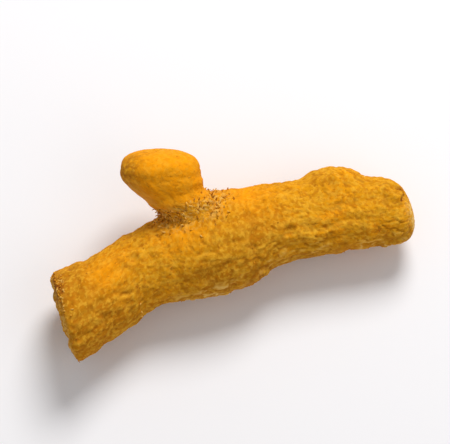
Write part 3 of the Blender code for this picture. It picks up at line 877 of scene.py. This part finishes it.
def turmeric_look(name, colours):
    """Dried skin: ochre with rubbed orange patches, brown hollows, rings and specks, pale powder on top, and
    painted shade and highlight.

    The noises read the skin laid out straight, in millimetres, so that they follow each finger.
    """
    material = bpy.data.materials.new(name)
    material.use_nodes = True
    nodes, links = material.node_tree.nodes, material.node_tree.links
    shader = nodes["Principled BSDF"]

    def mark(attribute, output):
        """What the skin's points keep under a name."""
        node = nodes.new("ShaderNodeAttribute")
        node.attribute_name = attribute
        return node.outputs[output]

    def scaled(vector, scale):
        """The vector times the scale."""
        node = nodes.new("ShaderNodeMapping")
        node.vector_type = "POINT"
        socket(node, "Scale", scale)
        links.new(vector, node.inputs["Vector"])
        return node.outputs["Vector"]

    def cloud(vector, size, detail, low, high):
        """Noise from 0 to 1, with what is below low cut to 0 and above high to 1."""
        node = nodes.new("ShaderNodeTexNoise")
        socket(node, "Scale", size)
        socket(node, "Detail", detail)
        links.new(vector, node.inputs["Vector"])
        span = nodes.new("ShaderNodeMapRange")
        span.interpolation_type = "SMOOTHSTEP"
        socket(span, "From Min", low)
        socket(span, "From Max", high)
        links.new(node.outputs["Fac"], span.inputs["Value"])
        return span.outputs["Result"]

    def times(value, strength):
        """A node's value times a strength, which is a number or another node's value."""
        node = nodes.new("ShaderNodeMath")
        node.operation = "MULTIPLY"
        links.new(value, node.inputs[0])
        if isinstance(strength, float):
            node.inputs[1].default_value = strength
        else:
            links.new(strength, node.inputs[1])
        return node.outputs["Value"]

    def layer(base, colour, share):
        """The base colour turned into the other one by the share."""
        node = nodes.new("ShaderNodeMix")
        node.data_type = "RGBA"
        links.new(share, node.inputs[MIX_SHARE])
        if isinstance(base, bpy.types.NodeSocket):
            links.new(base, node.inputs[MIX_BASE])
        else:
            node.inputs[MIX_BASE].default_value = (*base, 1.0)
        node.inputs[MIX_COLOUR].default_value = (*colour, 1.0)
        return node.outputs[MIX_RESULT]

    skins = {kind: scaled(mark("straight", "Vector"), scale) for kind, scale in SKIN_SCALES.items()}
    shares = {kept: mark(kept, "Fac") for kept in MARKS}
    colour = colours.ochre
    for paint, share, bound, specks in SKIN_LAYERS:
        if bound is not None:
            share = times(shares[bound], share)
        if specks is not None:
            skin, *pattern = specks
            share = times(cloud(skins[skin], *pattern), share)
        colour = layer(colour, getattr(colours, paint), share)
    links.new(colour, shader.inputs["Base Color"])

    grain = nodes.new("ShaderNodeTexNoise")
    socket(grain, "Scale", 3.2)
    socket(grain, "Detail", 5.0)
    socket(grain, "Roughness", 0.65)
    links.new(skins["even"], grain.inputs["Vector"])
    bump = nodes.new("ShaderNodeBump")
    socket(bump, "Strength", 0.7)
    socket(bump, "Distance", 0.16 * MM)
    links.new(grain.outputs["Fac"], bump.inputs["Height"])
    links.new(bump.outputs["Normal"], shader.inputs["Normal"])
    socket(shader, "Roughness", 0.9)
    socket(shader, "Specular IOR Level", 0.06)
    return material


def fibre_look(name, colours):
    """Dry fibre: brown, ochre or tan by a noise about a millimetre across, along and between the fibres."""
    material = bpy.data.materials.new(name)
    material.use_nodes = True
    nodes, links = material.node_tree.nodes, material.node_tree.links
    shader = nodes["Principled BSDF"]
    place = nodes.new("ShaderNodeTexCoord")
    cloud = nodes.new("ShaderNodeTexNoise")
    socket(cloud, "Scale", 900.0)
    socket(cloud, "Detail", 2.0)
    links.new(place.outputs["Object"], cloud.inputs["Vector"])
    ramp = nodes.new("ShaderNodeValToRGB")
    ramp.color_ramp.elements[0].position = 0.42
    ramp.color_ramp.elements[0].color = (*colours.hollow, 1.0)
    ramp.color_ramp.elements[1].position = 0.60
    ramp.color_ramp.elements[1].color = (*colours.fibre, 1.0)
    middle = ramp.color_ramp.elements.new(0.50)
    middle.color = (*colours.ochre, 1.0)
    links.new(cloud.outputs["Fac"], ramp.inputs["Fac"])
    links.new(ramp.outputs["Color"], shader.inputs["Base Color"])
    socket(shader, "Roughness", 0.9)
    socket(shader, "Specular IOR Level", 0.2)
    return material


def floor_look(name, colours):
    """Pale matt floor with a barely uneven tone."""
    material = bpy.data.materials.new(name)
    material.use_nodes = True
    nodes, links = material.node_tree.nodes, material.node_tree.links
    shader = nodes["Principled BSDF"]
    place = nodes.new("ShaderNodeTexCoord")
    cloud = nodes.new("ShaderNodeTexNoise")
    socket(cloud, "Scale", 30.0)
    links.new(place.outputs["Object"], cloud.inputs["Vector"])
    ramp = nodes.new("ShaderNodeValToRGB")
    ramp.color_ramp.elements[0].color = (*(0.985 * part for part in colours.floor), 1.0)
    ramp.color_ramp.elements[1].color = (*colours.floor, 1.0)
    links.new(cloud.outputs["Fac"], ramp.inputs["Fac"])
    links.new(ramp.outputs["Color"], shader.inputs["Base Color"])
    socket(shader, "Roughness", 0.9)
    return material


class OBJECT_OT_turmeric_skin(bpy.types.Operator):
    """Makes the root's skin, with its side finger, and puts it in place of the solid"""

    bl_idname = "object.turmeric_skin"
    bl_label = "Root Skin"

    def execute(self, context):
        sizes, colours = context.scene.turmeric_shape, context.scene.turmeric_colours
        skin = add_finger("root_skin", root_surface(sizes))
        side = add_finger("side_skin", side_surface(sizes))
        join_fingers(skin, side)
        if "straight" not in skin.data.attributes:
            raise RuntimeError("the joined skin has lost its marks")
        skin.data.materials.clear()
        skin.data.materials.append(turmeric_look("turmeric_skin", colours))
        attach(skin, "root")
        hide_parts(NODE)
        return {"FINISHED"}


class OBJECT_OT_turmeric_fibres(bpy.types.Operator):
    """Makes the rootlet fibres of the collar, the broken end and the nodes"""

    bl_idname = "object.turmeric_fibres"
    bl_label = "Rootlet Fibres"

    def execute(self, context):
        sizes, colours = context.scene.turmeric_shape, context.scene.turmeric_colours
        draw = np.random.default_rng(FIBRE_SEED)
        look = fibre_look("dry_fibre", colours)
        for name, feet, ways in fibre_places(sizes, draw):
            count = len(feet)
            ways = unit(ways + draw.normal(0.0, FIBRE_SPREAD, (count, 3)))
            bends = draw.normal(0.0, 1.0, (count, 3))
            lengths = draw.uniform(*FIBRE_LENGTHS[name], count) * MM
            curls = draw.uniform(*FIBRE_CURLS, count)
            radii = sizes.fibre_radius * draw.uniform(THINNEST_FIBRE, 1.0, count)
            tubes = fibre_tubes(feet, ways, bends, lengths, curls, radii)
            points = closed_points(tubes) - FOOTPRINT_MIDDLE
            points[:, 2] = np.maximum(points[:, 2], FIBRE_OFF_FLOOR)
            faces = closed_faces(count, tubes.shape[1] - 1, tubes.shape[2])
            fibres = add_mesh(name, points, faces, {})
            fibres.data.materials.append(look)
            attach(fibres, "root")
        return {"FINISHED"}


class OBJECT_OT_turmeric_studio(bpy.types.Operator):
    """Makes the pale floor, the soft lights and the camera at the picture's angle"""

    bl_idname = "object.turmeric_studio"
    bl_label = "Studio"

    def execute(self, context):
        scene = context.scene
        studio, colours = scene.turmeric_studio, scene.turmeric_colours
        turn, rise = math.radians(PICTURE_TURN), math.radians(CAMERA_ELEVATION)
        up = Vector((0.0, 0.0, 1.0))
        picture_up = Vector((math.sin(turn), math.cos(turn), 0.0))
        picture_right = Vector((math.cos(turn), -math.sin(turn), 0.0))
        low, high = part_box(NODE)
        middle = 0.5 * (low + high)

        corners = np.array([(-1, -1, 0), (1, -1, 0), (1, 1, 0), (-1, 1, 0)]) * FLOOR_HALF
        floor = add_mesh("floor", corners - np.array([0.0, 0.0, FLOOR_DROP]), [(0, 1, 2, 3)], {})
        floor.data.materials.append(floor_look("pale_floor", colours))

        look_way = picture_up * math.cos(rise) - up * math.sin(rise)
        camera = bpy.data.cameras.new("camera")
        camera.lens = studio.lens
        distance = studio.picture_width * studio.lens / camera.sensor_width
        holder = bpy.data.objects.new("camera", camera)
        holder.location = middle - look_way * distance
        holder.rotation_euler = look_way.to_track_quat("-Z", "Y").to_euler()
        scene.collection.objects.link(holder)
        scene.camera = holder

        def soft_light(name, place, power):
            """A round light that faces the root, from its shares of the picture's ways and upwards."""
            (right, ahead, above), size = place
            way = picture_right * right + picture_up * ahead + up * above
            lamp = bpy.data.lights.new(name, "AREA")
            lamp.shape = "DISK"
            lamp.size = size
            lamp.energy = power
            made = bpy.data.objects.new(name, lamp)
            made.location = middle + way.normalized() * LIGHT_DISTANCE
            made.rotation_euler = (-way).to_track_quat("-Z", "Y").to_euler()
            scene.collection.objects.link(made)

        soft_light("key_light", KEY_LIGHT, studio.key_power)
        soft_light("fill_light", FILL_LIGHT, studio.fill_power)

        world = bpy.data.worlds.new("studio_sky")
        world.use_nodes = True
        sky = world.node_tree.nodes["Background"]
        socket(sky, "Color", SKY_COLOUR)
        socket(sky, "Strength", studio.sky)
        scene.world = world
        scene.view_settings.view_transform = "Standard"
        return {"FINISHED"}


class VIEW3D_PT_turmeric(bpy.types.Panel):
    """Lists the root's sizes and colours and the buttons that make it"""

    bl_idname = "VIEW3D_PT_turmeric"
    bl_label = "Turmeric Root"
    bl_space_type = "VIEW_3D"
    bl_region_type = "UI"
    bl_category = "Turmeric"

    def draw(self, context):
        scene = context.scene
        for title, group in (
            ("Shape", scene.turmeric_shape),
            ("Colours", scene.turmeric_colours),
            ("Studio", scene.turmeric_studio),
        ):
            box = self.layout.box()
            box.label(text=title)
            for name in group.bl_rna.properties.keys():
                if name not in ("rna_type", "name"):
                    box.prop(group, name)
        for operator in OPERATORS:
            self.layout.operator(operator.bl_idname)


GROUPS = {
    "turmeric_shape": TurmericShape,
    "turmeric_colours": TurmericColours,
    "turmeric_studio": TurmericStudio,
}
OPERATORS = (OBJECT_OT_turmeric_skin, OBJECT_OT_turmeric_fibres, OBJECT_OT_turmeric_studio)


def register():
    """Makes the classes known to Blender, and puts each group of values on the scene."""
    for made in (*GROUPS.values(), *OPERATORS, VIEW3D_PT_turmeric):
        bpy.utils.register_class(made)
    for name, group in GROUPS.items():
        setattr(bpy.types.Scene, name, PointerProperty(type=group))


def unregister():
    """Undoes what register does, the other way round."""
    for name in GROUPS:
        delattr(bpy.types.Scene, name)
    for made in (VIEW3D_PT_turmeric, *reversed(OPERATORS), *reversed(GROUPS.values())):
        bpy.utils.unregister_class(made)


def main():
    """Makes every piece and the stage."""
    register()
    bpy.ops.object.turmeric_skin()
    bpy.ops.object.turmeric_fibres()
    bpy.ops.object.turmeric_studio()
    bpy.context.view_layer.update()


if __name__ == "__main__":
    main()
